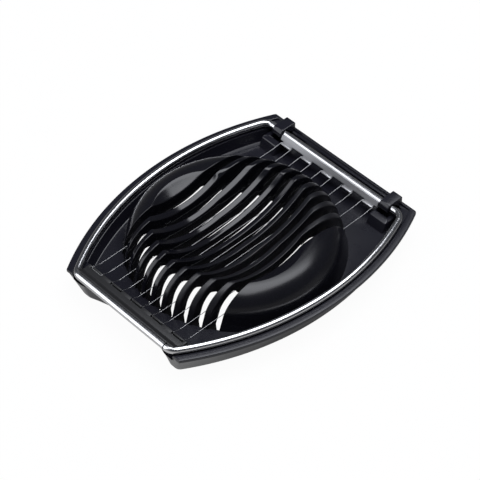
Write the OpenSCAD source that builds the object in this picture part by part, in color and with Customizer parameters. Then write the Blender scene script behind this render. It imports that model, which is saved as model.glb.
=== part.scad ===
// Egg slicer: a moulded tray with a slotted two-lobe egg cup, and a wire frame that swings down over it.
// Millimetres. +Z is up and the tray stands on Z = 0. +Y runs to the hinge and X across the wires.
// The working origin is under the centre of the egg cup; seat() then centres the model along Y.

/* [Egg cup] */
// Radius of the cup at its foot, on the tray's floor
foot_r = 38.7; // [34:0.1:42]
// How far the cup's wall leans in from its foot to the shoulder
wall_lean = 1.1; // [0.8:0.1:1.8]
// Radius of the cup's rounded shoulder
shoulder_r = 10.8; // [9:0.1:12]
// Height of the cup's flat crown above the tray's rim
cup_rise = 8.4; // [7.5:0.1:9.5]
// Thickness of the cup's wall
cup_t = 3.2; // [2.8:0.1:3.6]
// Thickness of the ribs and ends under the hollow
hollow_t = 4.2; // [3.8:0.1:4.6]
// Height of the foot of the cup's wall above the table
cup_foot_z = 1.5; // [1:0.1:2.5]
// Height of the bottom of the hollow above the wires
hollow_gap = 0.5; // [0.3:0.1:1]
// Radius of the cross section of the lobe that lies across the wires
across_r = 34; // [31:0.5:37]
// Radius of that lobe along its length
across_len_r = 50; // [45:0.5:55]
// How far that lobe lies in front of the cup's centre
across_y = 4.5; // [3:0.5:6]
// Radius of the cross section of the lobe that lies along the wires
along_r = 33.2; // [30:0.2:36]
// Radius of that lobe along its length
along_len_r = 48.9; // [44:0.1:54]

/* [Tray outline] */
// Distance from the cup's foot out to the tray's side at the widest place
side_room = 6.3; // [6:0.1:9]
// Distance from the cup's foot forward to the front edge
front_room = 12.6; // [11.5:0.1:15]
// Distance from the cup's foot back to the rear edge
rear_room = 14.6; // [13.5:0.1:17]
// Distance from the outermost wire out to the tray's front corner
corner_room = 5.5; // [5:0.1:7]
// How far the widest place lies behind the cup's centre
belly_y = 7; // [4:0.5:10]
// Height of the rim above the table
tray_h = 10.4; // [9.5:0.1:13]

/* [Tray walls] */
// Depth of the flange round the top of the wall
flange_h = 1.2; // [0.8:0.1:1.6]
// How far the wall under the flange is set in
flange_step = 0.5; // [0.2:0.1:0.8]
// How far the side walls lean in from the flange to the foot
side_lean = 4.5; // [3:0.5:5]
// How far the front wall leans in
front_lean = 2.8; // [2:0.1:3.5]
// How far the rear wall leans in
rear_lean = 1.2; // [0.5:0.1:1.6]
// Width of the flat rim along the sides
rim_w = 2.6; // [2:0.1:3]
// Thickness of the low lip along the rear edge
rear_lip = 1; // [0.8:0.1:1.5]
// Depth from the rim to the tray's floor
floor_depth = 5.3; // [4.7:0.1:6]
// Thickness of the floor
floor_t = 2; // [1.5:0.1:2.5]
// Thickness of the skirt under the floor
skirt_t = 2; // [1.5:0.1:3]
// Width of the ledge that the side of the frame comes down on
ledge_w = 3; // [2.6:0.1:3.4]
// Draft of the tray's inner walls
draft = 1; // [0.5:0.1:1.5]
// Thickness of the rear wall
rear_wall = 2; // [1.8:0.1:2.5]
// Radius of the finger recess in the front wall, seen from above
recess_r = 54; // [45:1:70]
// Depth of the finger recess at the foot
recess_depth = 4; // [3:0.1:4.5]

/* [Wires] */
// Distance between neighbouring wires, which is one slice
pitch = 5; // [4.5:0.1:5.5]
// Number of wire loops, two wires each
loops = 5; // [3:1:5]
// Diameter of the wire
wire_d = 0.4; // [0.3:0.02:0.5]
// Depth of the wires below the rim
wire_drop = 0.9; // [0.8:0.1:1.2]
// Width of the slots that the wires pass through
slot_w = 3; // [2.4:0.1:3.4]
// Clear space round a wire in the rail and at the tabs
wire_fit = 0.05; // [0.02:0.01:0.1]

/* [Frame rod] */
// Diameter of the steel rod
rod_d = 2.6; // [2.3:0.1:2.9]
// Height of the rod's centre above the rim
rod_rise = 0.8; // [0.7:0.1:1.2]
// Gap between the rod and the ledge under it
rod_gap = 0.3; // [0.3:0.05:0.5]
// How far the rod's side keeps inside the rim's edge
rim_gap = 0.1; // [0.05:0.05:0.4]
// Distance from the rear edge forward to the hinge axis
hinge_set = 5.8; // [5.2:0.1:6.5]
// Distance from the front edge back to the front bar's centre
bar_set = 0.5; // [0:0.1:1]
// Bend radius of the rod's front corners
front_bend = 4; // [3.5:0.1:4.5]
// Bend radius of the rod's rear corners
rear_bend = 4.5; // [4:0.1:5]

/* [Wire holders] */
// How far the front rail reaches past the outermost wire
rail_end = 1.5; // [1:0.1:1.7]
// Distance from the front bar's centre back to the rail's inner face
rail_set = 6.7; // [6:0.1:7.5]
// Height of the rail's flat top above the wires
rail_top = 1.2; // [1:0.1:1.4]
// Depth of the rail's inner face below the wires
rail_below = 1.1; // [0.8:0.1:1.3]
// Width of the rail's flat top
rail_flat = 3.5; // [3:0.1:4]
// Thickness of the rail's lugs that hold the loops
lug_t = 0.7; // [0.6:0.05:1]
// Thickness of the rail's wrap round the rod
rail_wrap = 0.75; // [0.6:0.05:0.9]
// Clear space between the rail and the tray's front wall
rail_gap = 0.5; // [0.4:0.1:0.8]
// How far the rear strip reaches past the outermost wire
strip_end = 1.1; // [0.8:0.1:1.3]
// Thickness of the rear strip's sheet steel
sheet_t = 0.58; // [0.5:0.02:0.7]
// Slope of the rear strip's flat, down from level
strip_slope = 63.4; // [58:0.1:70]
// Clear space between the rear strip and the tray
strip_gap = 0.4; // [0.3:0.05:0.6]

/* [Hinge hooks] */
// Width of each hook
hook_w = 4.3; // [3.8:0.1:4.8]
// Wall of a hook over the rod
hook_roof = 0.74; // [0.6:0.02:1]
// Wall of a hook in front of the rod
hook_wall = 0.9; // [0.7:0.1:1.2]
// Radial running clearance of the rod in the hooks
hinge_fit = 0.06; // [0.03:0.01:0.1]
// Distance from the hinge axis forward to the front edge of the corner blocks
block_reach = 5.2; // [4.8:0.1:6]
// How far the front of a corner block leans
block_lean = 1.8; // [1:0.1:2.4]
// How far a corner block reaches past its hook toward the middle
block_in = 1.1; // [0.8:0.1:1.4]
// How far a corner block reaches past its hook toward the side
block_out = 2.2; // [1.6:0.1:2.6]
// Clear space round a hook in the well under it
well_gap = 0.4; // [0.3:0.1:0.6]

/* [Hidden] */
$fn = 96;
eps = 0.01;
big = 10 * foot_r;
black = [0.06, 0.06, 0.07];
steel = [0.80, 0.80, 0.82];
sheet = [0.62, 0.62, 0.64];

// Radii
rod_r = rod_d / 2;
wire_r = wire_d / 2;
crown_r = foot_r - wall_lean - shoulder_r;
bore_r = rod_r + hinge_fit;
bead_r = rod_r + eps + sheet_t;
wrap_r = rod_r + rail_wrap;
curl_r = wire_r + wire_fit + sheet_t;

// Heights above the table
wire_z = tray_h - wire_drop;
rod_z = tray_h + rod_rise;
ledge_z = rod_z - rod_r - rod_gap;
floor_z = tray_h - floor_depth;
flange_z = tray_h - flange_h;
cup_z = tray_h + cup_rise;
block_z = rod_z - bead_r - strip_gap;
hook_z = rod_z + bore_r + hook_roof;

// Places across the wires
wires = 2 * loops;
function wire_x(k) = (k - (wires + 1) / 2) * pitch;
function loop_x(i) = (wire_x(2 * i - 1) + wire_x(2 * i)) / 2;
rail_half = wire_x(wires) + rail_end;
strip_half = wire_x(wires) + strip_end;
hook_x = strip_half + strip_gap;
tab_w = pitch - wire_d - 2 * wire_fit;

// Places along the wires, as distances from the cup's centre
front_y = foot_r + front_room;
rear_y = foot_r + rear_room;
bar_y = front_y - bar_set;
rail_y = bar_y - rail_set;
recess_y = front_y - front_lean - recess_depth;
hinge_y = rear_y - hinge_set;
block_y = hinge_y - block_reach;

// Each bowed side is an arc through the widest place and the front corner
side_w = foot_r + side_room;
bow = side_w - wire_x(wires) - corner_room;
side_r = (bow * bow + pow(front_y + belly_y, 2)) / (2 * bow);
side_cx = side_r - side_w;
rod_inset = rim_w + rod_r + rim_gap;
rod_side_r = side_r - rod_inset;

// The model reaches from the front bar to the rear edge
front_end = max(bar_y + rod_r, front_y);
middle_y = (rear_y - front_end) / 2;

// Centre of a corner bend of radius b that joins the bar at y to the right-hand side stretch
function bend_y(y, b) = y - sign(y) * b;
function bend_x(y, b) = sqrt(pow(rod_side_r - b, 2) - pow(bend_y(y, b) - belly_y, 2)) - side_cx;
function bend_angle(y, b) = atan2(bend_y(y, b) - belly_y, bend_x(y, b) + side_cx);

// The rear strip: where its flat leaves the bead, which way it runs and faces, and how long it is
strip_dir = [-cos(strip_slope), -sin(strip_slope)];
strip_out = [-sin(strip_slope), cos(strip_slope)];
strip_start = [hinge_y, rod_z] + bead_r * strip_out;
strip_len = (strip_start[1] - curl_r * strip_out[1] - wire_z) / sin(strip_slope);

// Where the wires turn, behind the rail's lugs and behind the strip's tabs
link_front = rail_y + lug_t + wire_fit + wire_r;
link_rear = strip_start + strip_len * strip_dir - curl_r * strip_out;

// Moves a sub-part from the working origin to the model's frame
module seat() {
    translate([0, -middle_y, 0]) children();
}

// An outline drawn in Y and Z, extruded along X from x0 to x1
module along_x(x0, x1) {
    translate([x0, 0, 0]) rotate([90, 0, 90]) linear_extrude(height = x1 - x0) children();
}

// The space between the two bowed sides from z0 to z1, set in by in0 at the bottom and in1 at the top
module bowed(z0, z1, in0, in1) {
    intersection() {
        translate([-side_cx, belly_y, z0])
            cylinder(h = z1 - z0, r1 = side_r - in0, r2 = side_r - in1, $fn = 360);
        translate([side_cx, belly_y, z0])
            cylinder(h = z1 - z0, r1 = side_r - in0, r2 = side_r - in1, $fn = 360);
    }
}

// Base ------------------------------------------------------------------

// The tray's outer form: a flange over walls that lean in to the foot
module tray_form() {
    intersection() {
        union() {
            bowed(0, flange_z, side_lean + flange_step, flange_step);
            bowed(flange_z, tray_h, 0, 0);
        }
        along_x(-big / 2, big / 2) polygon([
            [-front_y + front_lean, 0],
            [-front_y, ledge_z],
            [-front_y, tray_h + eps],
            [rear_y, tray_h + eps],
            [rear_y, flange_z],
            [rear_y - flange_step, flange_z],
            [rear_y - flange_step - rear_lean, 0]
        ]);
    }
}

// The channel that the frame lies in: open at the front, with the rim outside it
module frame_channel() {
    intersection() {
        bowed(ledge_z, tray_h + 1, rim_w, rim_w);
        translate([-big / 2, -big / 2, ledge_z - eps])
            cube([big, big / 2 + rear_y - rear_lip, tray_h]);
    }
}

// The inside of the tray, down to its floor
module tray_hollow() {
    intersection() {
        bowed(floor_z, ledge_z + eps, rim_w + ledge_w + draft, rim_w + ledge_w);
        along_x(-big / 2, big / 2) polygon([
            [-rail_y + draft, floor_z - eps],
            [-rail_y + wire_r, tray_h],
            [rear_y - rear_wall, tray_h],
            [rear_y - rear_wall - draft / 2, floor_z - eps]
        ]);
    }
}

// The open underside of the tray
module underside() {
    top = floor_z - floor_t;
    lean = side_lean * top / flange_z;
    difference() {
        intersection() {
            bowed(-eps, top, flange_step + side_lean + skirt_t, flange_step + side_lean + skirt_t - lean);
            along_x(-big / 2, big / 2) polygon([
                [-front_y + front_lean + skirt_t, -1],
                [-front_y + front_lean + skirt_t, top],
                [rear_y - flange_step - rear_lean - skirt_t, top],
                [rear_y - flange_step - rear_lean - skirt_t, -1]
            ]);
        }
        recess(skirt_t);
    }
}

// The finger recess in the front wall, grown by g
module recess(g) {
    translate([0, -recess_y - recess_r, -eps])
        cylinder(h = ledge_z + 1, r1 = recess_r + g, r2 = recess_r + g - front_lean, $fn = 360);
}

// Room for the front rail over the front wall
module rail_notch() {
    translate([-rail_half - rail_gap, -big / 2, wire_z - rail_below - rail_gap])
        cube([2 * (rail_half + rail_gap), big / 2 - rail_y + rail_gap, tray_h]);
}

// Outline of the cup's wall, set in by t
module cup_outline(t) {
    r = shoulder_r - t;
    cz = cup_z - shoulder_r;
    dx = foot_r - t - crown_r;
    dz = floor_z - cz;
    turn = atan2(dz, dx) + acos(r / norm([dx, dz]));
    touch = [crown_r + r * cos(turn), cz + r * sin(turn)];
    union() {
        translate([crown_r, cz]) intersection() {
            circle(r = r);
            square(r);
        }
        translate([0, cz]) square([crown_r, r]);
        polygon([
            [0, cup_foot_z - t / 4],
            [foot_r - t - 0.4, cup_foot_z - t / 4],
            [foot_r - t, floor_z],
            touch,
            [0, touch[1]]
        ]);
    }
}

// A lobe of the hollow: section radius r and lengthwise radius len_r, lying along Y, grown by g
module lobe(r, len_r, g) {
    z = wire_z + hollow_gap + len_r;
    translate([0, 0, z]) rotate([0, -90, 0]) rotate_extrude($fn = 180) intersection() {
        translate([len_r - r, 0]) circle(r = r + g, $fn = 180);
        translate([0, -r - g]) square([len_r + g, 2 * (r + g)]);
    }
}

// The egg hollow: one lobe across the wires and one along them
module lobes(g) {
    translate([0, -across_y, 0]) rotate([0, 0, 90]) lobe(across_r, across_len_r, g);
    lobe(along_r, along_len_r, g);
}

// The slots that let the wires down through the cup
module slots() {
    intersection() {
        for (k = [1:wires])
            translate([wire_x(k) - slot_w / 2, -foot_r, -1]) cube([slot_w, 2 * foot_r, cup_z + 2]);
        translate([0, 0, -2]) cylinder(h = cup_z + 4, r = foot_r, $fn = 180);
    }
}

// The cup: an even wall under the shoulder, and a thicker one under the two lobes
module egg_cup() {
    difference() {
        rotate_extrude($fn = 180) cup_outline(0);
        difference() {
            rotate_extrude($fn = 180) cup_outline(cup_t);
            lobes(hollow_t);
        }
    }
}

// A hinge hook on the right-hand side, with the corner block that carries it
module hook_block() {
    back = rear_y - rear_wall + eps;
    along_x(hook_x - block_in, hook_x + hook_w + block_out) polygon([
        [block_y - block_lean, floor_z - eps],
        [block_y, block_z],
        [back, block_z],
        [back, floor_z - eps]
    ]);
    along_x(hook_x, hook_x + hook_w) difference() {
        union() {
            translate([hinge_y, rod_z]) circle(r = bore_r + hook_wall);
            translate([hinge_y, block_z - eps]) square([rear_y - flange_step - hinge_y, hook_z - block_z + eps]);
        }
        translate([0, hook_z]) square(big);
    }
}

// The bore of a hinge hook and the well under it
module hook_well() {
    reach = bore_r + hook_wall;
    translate([hook_x - block_in, hinge_y, rod_z]) rotate([0, 90, 0])
        cylinder(h = block_in + hook_w + block_out, r = bore_r);
    translate([hook_x - well_gap, hinge_y - reach - well_gap, -1])
        cube([hook_w + 2 * well_gap, reach + well_gap + bore_r, rod_z - bore_r / 2 + 1]);
}

module base() {
    color(black) seat() difference() {
        union() {
            difference() {
                tray_form();
                frame_channel();
                tray_hollow();
                underside();
                recess(0);
                rail_notch();
                translate([0, 0, -1]) cylinder(h = floor_z + 2, r = foot_r - cup_t, $fn = 180);
            }
            egg_cup();
            hook_block();
            mirror([1, 0, 0]) hook_block();
        }
        lobes(0);
        slots();
        hook_well();
        mirror([1, 0, 0]) hook_well();
    }
}

// Wire frame -------------------------------------------------------------

// A quarter or less of a bent rod: bend radius b, from angle a0 to a1
module bend(b, r, a0, a1) {
    rotate([0, 0, a0]) rotate_extrude(angle = a1 - a0, $fn = 360) translate([b, 0]) circle(r = r, $fn = 48);
}

// A hidden ball that closes the hair's breadth between two lengths of rod where a bend ends
module bend_joint(x, y) {
    translate([x, y, 0]) sphere(r = rod_r + eps, $fn = 48);
}

// The right-hand half of the closed rod loop
module rod_half() {
    fx = bend_x(-bar_y, front_bend);
    fa = bend_angle(-bar_y, front_bend);
    rx = bend_x(hinge_y, rear_bend);
    ra = bend_angle(hinge_y, rear_bend);
    translate([0, -bar_y, 0]) rotate([0, 90, 0]) cylinder(h = fx, r = rod_r, $fn = 48);
    translate([fx, bend_y(-bar_y, front_bend), 0]) bend(front_bend, rod_r, -90, fa);
    translate([-side_cx, belly_y, 0]) bend(rod_side_r, rod_r, fa, ra);
    translate([rx, bend_y(hinge_y, rear_bend), 0]) bend(rear_bend, rod_r, ra, 90);
    translate([0, hinge_y, 0]) rotate([0, 90, 0]) cylinder(h = rx, r = rod_r, $fn = 48);
    bend_joint(fx, -bar_y);
    bend_joint(rod_side_r * cos(fa) - side_cx, rod_side_r * sin(fa) + belly_y);
    bend_joint(rod_side_r * cos(ra) - side_cx, rod_side_r * sin(ra) + belly_y);
    bend_joint(rx, hinge_y);
}

module frame_rod() {
    color(steel) seat() translate([0, 0, rod_z]) union() {
        rod_half();
        mirror([1, 0, 0]) rod_half();
    }
}

// Section of the front rail in Y and Z: a flat bar, with lips that hold the rod from behind
module rail_section() {
    edge = rail_wrap / 3;
    low = wire_z - rail_below;
    top = wire_z + rail_top;
    difference() {
        union() {
            translate([-bar_y, rod_z]) circle(r = wrap_r);
            polygon([
                [-rail_y, low],
                [-rail_y, top - edge],
                [-rail_y - edge, top],
                [-rail_y - rail_flat, top],
                [-bar_y + wrap_r * cos(70), rod_z + wrap_r * sin(70)],
                [-bar_y, rod_z],
                [-bar_y, rod_z - wrap_r],
                [-bar_y + wrap_r, low]
            ]);
        }
        translate([-bar_y, rod_z]) circle(r = rod_r + eps);
        translate([-bar_y - big, rod_z - rod_r / 2]) square([big + rod_r / 2, big]);
        translate([-bar_y - big, rod_z - big]) square([big - rod_r, 2 * big]);
    }
}

// The groove behind a pair of lugs, with the two slots that lead the wires to it
module loop_groove(i) {
    w = wire_d + 2 * wire_fit;
    low = wire_z - wire_r - wire_fit;
    back = rail_y + lug_t + w;
    translate([wire_x(2 * i - 1) - w / 2, -back, low]) cube([pitch + w, w, tray_h]);
    for (k = [2 * i - 1, 2 * i])
        translate([wire_x(k) - w / 2, -back + eps, low]) cube([w, w + lug_t + 1, tray_h]);
}

// Room for the bend of the rod's front corner in the right-hand end of the rail
module rail_corner() {
    straight = bend_x(-bar_y, front_bend);
    past = min(max(rail_half - straight, 0), front_bend);
    turn = front_bend - sqrt(front_bend * front_bend - past * past);
    translate([straight, -bar_y - big, 0])
        cube([big, big + turn + rod_r + rail_gap, big]);
}

module front_wire_rail() {
    color(black) seat() difference() {
        along_x(-rail_half, rail_half) rail_section();
        for (i = [1:loops]) loop_groove(i);
        rail_corner();
        mirror([1, 0, 0]) rail_corner();
    }
}

// Section of the rear strip: a bead wrapped round the rod, and a flat that runs down toward the wires
module strip_section(len) {
    tip = strip_start + len * strip_dir;
    difference() {
        union() {
            translate([hinge_y, rod_z]) circle(r = bead_r);
            polygon([strip_start, tip, tip - sheet_t * strip_out, strip_start - sheet_t * strip_out]);
        }
        translate([hinge_y, rod_z]) circle(r = rod_r + eps);
    }
}

// Section of a tab's hook: it curls back under the wire
module tab_section() {
    difference() {
        translate(link_rear) circle(r = curl_r);
        translate(link_rear) circle(r = wire_r + wire_fit);
        translate(link_rear) rotate(strip_slope - 90) square(2 * curl_r);
        translate(link_rear) rotate(strip_slope - 90) translate([-curl_r, 0]) square(2 * curl_r);
    }
}

module rear_wire_strip() {
    edge = wire_r + 2 * wire_fit + 0.2;
    color(sheet) seat() union() {
        along_x(-strip_half, strip_half) strip_section(strip_len - edge);
        for (i = [1:loops]) along_x(loop_x(i) - tab_w / 2, loop_x(i) + tab_w / 2) {
            strip_section(strip_len + wire_fit);
            tab_section();
        }
    }
}

// One loop of wire: two spans, joined behind the rail's lug and behind the strip's tab
module wire_loop(i) {
    turn = 2 * wire_r;
    y0 = -link_front;
    y1 = link_rear[0];
    color(steel) seat() translate([loop_x(i), 0, wire_z]) for (s = [0, 1]) mirror([s, 0, 0]) {
        translate([pitch / 2, y0 + turn, 0]) rotate([-90, 0, 0])
            cylinder(h = y1 - y0 - 2 * turn, r = wire_r, $fn = 24);
        translate([pitch / 2 - turn, y0 + turn, 0]) bend(turn, wire_r, -90, 0);
        translate([pitch / 2 - turn, y1 - turn, 0]) bend(turn, wire_r, 0, 90);
        for (y = [y0, y1]) translate([0, y, 0]) rotate([0, 90, 0])
            cylinder(h = pitch / 2 - turn, r = wire_r, $fn = 24);
    }
}

base();
frame_rod();
front_wire_rail();
rear_wire_strip();
for (i = [1:loops]) wire_loop(i);
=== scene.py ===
"""Egg slicer: the moulded tray with its egg cup, and the hinged wire frame, dressed round the CAD frame."""

import math

import bmesh
import bpy
import numpy as np
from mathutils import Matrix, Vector


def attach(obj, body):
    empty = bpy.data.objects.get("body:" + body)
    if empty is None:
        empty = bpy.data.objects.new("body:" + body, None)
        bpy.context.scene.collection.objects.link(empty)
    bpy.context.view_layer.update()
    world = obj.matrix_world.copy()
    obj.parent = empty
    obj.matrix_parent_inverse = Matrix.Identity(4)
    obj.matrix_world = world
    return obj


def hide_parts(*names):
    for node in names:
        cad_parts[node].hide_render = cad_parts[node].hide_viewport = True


bl_info = {
    "name": "Egg slicer",
    "version": (1, 0, 0),
    "blender": (4, 5, 0),
    "location": "3D View > Sidebar > Egg slicer",
    "description": "Builds the looks of a wire egg slicer round its CAD frame",
    "category": "Object",
}

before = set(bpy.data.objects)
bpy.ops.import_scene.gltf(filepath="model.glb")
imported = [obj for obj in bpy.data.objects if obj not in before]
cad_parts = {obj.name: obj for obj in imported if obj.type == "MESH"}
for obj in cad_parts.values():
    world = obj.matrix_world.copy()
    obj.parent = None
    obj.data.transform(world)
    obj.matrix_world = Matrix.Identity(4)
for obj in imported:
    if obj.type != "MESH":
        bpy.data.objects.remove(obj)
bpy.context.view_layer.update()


# Measures of the object, in millimetres from the middle of the cup's foot: X to the right, Y to the rear and
# Z up from the table. The frame's own origin stands MIDDLE further to the rear.

MM = 0.001
MIDDLE = 0.6

# Heights of the tray: its rim, the ledge inside the rim, the rim's underside and the floor's two faces
TRAY_TOP = 10.4
LEDGE = 9.6
FLANGE = 9.2
FLOOR = 5.1
FLOOR_UNDER = 3.1

# Plan of the tray: a straight front and rear edge, and side arcs of SIDE_R, the right one about
# (-SIDE_X, BELLY). A corner has EDGE_STEPS points and the rear edge has REAR_STEPS.
FRONT = 51.3
REAR = 53.3
SIDE_R = 108.0
SIDE_X = 63.0
BELLY = 7.0
EDGE_STEPS = 9
REAR_STEPS = 26

# The finger recess, a round bite about (0, BITE_Y) whose radius shrinks by BITE_TAPER over a height of
# BITE_TALL, and the rail's room in the front wall
BITE_Y = -98.5
BITE_R = 54.0
BITE_TAPER = 2.8
BITE_TALL = 10.6
BITE_HALF = 30
RAIL_ROOM_X = 24.5
RAIL_ROOM_Z = 7.9

# The egg cup: its radius where it meets the tray's floor, the edge of its flat crown, the middle of its
# shoulder's arc, its wall, and how low and how far out the wall ends. The last slots end at END_X.
CUP_R = 38.7
CROWN_R = 26.8
SHOULDER_Z = 8.0
SHOULDER_R = 10.8
CUP_WALL = 3.2
CUP_LOW = 1.5
OUTER_FOOT = CUP_R - 0.4
INNER_FOOT = CUP_R - 3.5
SLOT = 3.0
PITCH = 5.0
END_X = 4.5 * PITCH + SLOT / 2

# The hollow's two lobes, one across the wires and one along them: each is a circle of its section's radius
# swung round on a radius of its length, and its lowest point is LOBE_GAP above the wires
LOBE_GAP = 0.5
ACROSS_Y = -4.5
ACROSS_SECTION = 34.0
ACROSS_LENGTH = 50.0
ALONG_SECTION = 33.2
ALONG_LENGTH = 48.9

# The wire frame: the rod's loop, which runs ROD_INSET inside the tray's side arcs from the bar at the front
# to the hinge, the wires, the sheet strip on the hinge and the rail on the bar
ROD_R = 1.3
ROD_Z = 11.2
ROD_INSET = 4.0
HINGE_Y = 47.5
BAR_Y = 50.8
FRONT_BEND = 4.0
REAR_BEND = 4.5
WIRE_Z = 9.5
STRIP_T = 0.58
STRIP_SLOPE = 63.4
STRIP_HALF = 23.6
RAIL_HALF = 24.0
RAIL_BACK = -44.1
RAIL_LOW = 8.4
RAIL_TOP = 10.7


# Materials


class Shader:
    """A material's node tree, with short calls that add a node and link it."""

    def __init__(self, name):
        self.material = bpy.data.materials.new(name)
        self.material.use_nodes = True
        self.nodes = self.material.node_tree.nodes
        self.links = self.material.node_tree.links
        self.surface = self.nodes["Principled BSDF"]
        self.place = self.nodes.new("ShaderNodeTexCoord").outputs["Object"]

    def add(self, kind, inputs=None, **settings):
        """Adds a node of that kind. An input that is a socket is linked, and any other is set."""
        node = self.nodes.new(kind)
        for key, value in settings.items():
            setattr(node, key, value)
        for key, value in (inputs or {}).items():
            self.feed(node.inputs[key], value)
        return node

    def feed(self, socket, value):
        """Links a socket to the input, or sets the input to a plain value."""
        if isinstance(value, bpy.types.NodeSocket):
            self.links.new(value, socket)
        else:
            socket.default_value = value

    def dress(self, values):
        """Feeds the surface's inputs, by name, and hands back the material."""
        for key, value in values.items():
            self.feed(self.surface.inputs[key], value)
        return self.material

    def maths(self, operation, *values, clamp=False):
        """The result of one operation on one or two values."""
        inputs = dict(enumerate(values))
        return self.add("ShaderNodeMath", inputs, operation=operation, use_clamp=clamp).outputs[0]

    def axes(self):
        """The object's own x, y and z, in metres."""
        return self.add("ShaderNodeSeparateXYZ", {"Vector": self.place}).outputs

    def length(self, vector):
        """The length of a vector."""
        return self.add("ShaderNodeVectorMath", {0: vector}, operation="LENGTH").outputs["Value"]

    def noise(self, scale, detail=2.0, roughness=0.5, vector=None):
        """Noise over the object's own coordinates, scale in cells a metre."""
        inputs = {"Vector": vector or self.place, "Scale": scale, "Detail": detail, "Roughness": roughness}
        return self.add("ShaderNodeTexNoise", inputs).outputs["Fac"]

    def span(self, value, low, high, to_low, to_high):
        """Maps value from low..high to to_low..to_high, held at the ends."""
        inputs = {"Value": value, "From Min": low, "From Max": high, "To Min": to_low, "To Max": to_high}
        return self.add("ShaderNodeMapRange", inputs).outputs["Result"]

    def bump(self, height, distance, strength):
        """Bump from a height that stands distance metres tall where it is 1."""
        inputs = {"Height": height, "Distance": distance, "Strength": strength}
        return self.add("ShaderNodeBump", inputs).outputs["Normal"]

    def stretched(self, scale):
        """The object's coordinates, scaled along each axis."""
        return self.add("ShaderNodeMapping", {"Vector": self.place, "Scale": scale}).outputs["Vector"]


FULL_SHINE = 0.5
SHINE_LOST = 0.38


def moulded_black(name, colour, roughness, worn=None, painted_dim_crown=None):
    """Black moulded plastic: fine spark-eroded grain and slow gloss changes.

    worn is (from x, to x, roughness there), in metres: between the two the roughness slides to its new
    value. The last argument, a pair of radii in metres, paints shade on the reflection: on the right half
    the shine is full outside the second radius and falls to a quarter inside the first."""
    s = Shader(name)
    x, y, _ = s.axes()
    slow = s.noise(90, 3)
    grain = s.noise(5200, 2, 0.6)
    gloss = s.span(slow, 0.3, 0.7, roughness - 0.025, roughness + 0.035)
    if worn:
        start, end, there = worn
        gloss = s.maths("ADD", gloss, s.span(x, start, end, 0, there - roughness))
    gloss = s.maths("ADD", gloss, s.span(grain, 0.3, 0.7, -0.015, 0.015))
    shine = FULL_SHINE
    # Painted shade on the reflection: on the right half the shine is cut inside a radius, to narrow the
    # highlight band on the cup's right end.
    if painted_dim_crown:
        radius = s.length(s.add("ShaderNodeCombineXYZ", {"X": x, "Y": y}).outputs[0])
        right = s.span(x, -0.001, 0.001, 0, 1)
        lost = s.maths("MULTIPLY", s.span(radius, *painted_dim_crown, SHINE_LOST, 0), right)
        shine = s.maths("SUBTRACT", FULL_SHINE, lost)
    return s.dress({
        "Base Color": (*colour, 1),
        "Roughness": gloss,
        "IOR": 1.5,
        "Specular IOR Level": shine,
        "Normal": s.bump(grain, 0.000006, 0.4),
    })


def drawn_steel(name, colour, roughness, grain_axis):
    """Bright steel with fine drawing lines: noise long on the grain's axis and fine on the others."""
    s = Shader(name)
    scale = [9000.0, 9000.0, 9000.0]
    scale[grain_axis] = 60.0
    lines = s.noise(1.0, 2, 0.6, s.stretched(scale))
    return s.dress({
        "Base Color": (*colour, 1),
        "Metallic": 1.0,
        "Roughness": s.span(lines, 0.3, 0.7, roughness * 0.7, roughness * 1.3),
        "Normal": s.bump(lines, 0.000001, 0.3),
    })


def polished_steel(name, colour, roughness, seam):
    """Polished round rod with slow gloss changes and a dark butt joint on the front bar, where x is seam."""
    s = Shader(name)
    x, y, _ = s.axes()
    off = s.maths("ABSOLUTE", s.maths("SUBTRACT", x, seam))
    front = s.span(y, -0.049, -0.048, 1, 0)
    joint = s.maths("MULTIPLY", s.span(off, 0.00016, 0.0003, 1, 0), front)
    tint = s.add("ShaderNodeMix", {0: joint, 6: (*colour, 1), 7: (0.03, 0.03, 0.032, 1)}, data_type="RGBA")
    return s.dress({
        "Base Color": tint.outputs[2],
        "Metallic": 1.0,
        "Roughness": s.span(s.noise(260, 3), 0.3, 0.7, roughness * 0.8, roughness * 1.3),
        "Normal": s.bump(s.noise(500, 2), 0.000002, 0.15),
    })


def white_floor(name):
    """Matt white that the camera and glass see as plain white.

    Metal and gloss see it as a glowing light of their own, with painted light and shade in it: a painted
    shadow under the part, full from 55 to 80 mm out, then a painted fall-off, and painted light that is
    dimmer to the rear left than to the front right."""
    s = Shader(name)
    ray = s.add("ShaderNodeLightPath").outputs
    seen = s.maths("ADD", ray["Is Camera Ray"], ray["Is Transmission Ray"])
    radius = s.length(s.place)
    x, y, _ = s.axes()
    # Painted light and shade in the glow that metal and gloss see: a painted shadow under the part, a
    # painted fall-off far out, and painted light brighter to the front right.
    painted_shadow_under_part = s.span(radius, 0.035, 0.055, 0.02, 1)
    painted_falloff_far_out = s.span(radius, 0.08, 0.25, 1, 0.45)
    painted_light_front_right = s.span(s.maths("SUBTRACT", x, y), -0.05, 0.06, 0.2, 0.6)
    painted_glow_for_gloss = s.maths("MULTIPLY", s.maths("MULTIPLY", painted_shadow_under_part, painted_falloff_far_out), painted_light_front_right)
    level = s.maths("ADD", seen, s.maths("MULTIPLY", ray["Is Glossy Ray"], painted_glow_for_gloss))
    glow = s.add("ShaderNodeEmission", {"Color": (1, 1, 1, 1), "Strength": level})
    share = s.maths("MULTIPLY", s.maths("ADD", seen, ray["Is Glossy Ray"]), 0.96, clamp=True)
    mix = s.add("ShaderNodeMixShader", {0: share, 1: s.surface.outputs[0], 2: glow.outputs[0]})
    s.feed(s.nodes["Material Output"].inputs[0], mix.outputs[0])
    return s.dress({"Base Color": (0.9, 0.9, 0.9, 1), "Roughness": 0.9})


# Lines and surfaces


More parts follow.
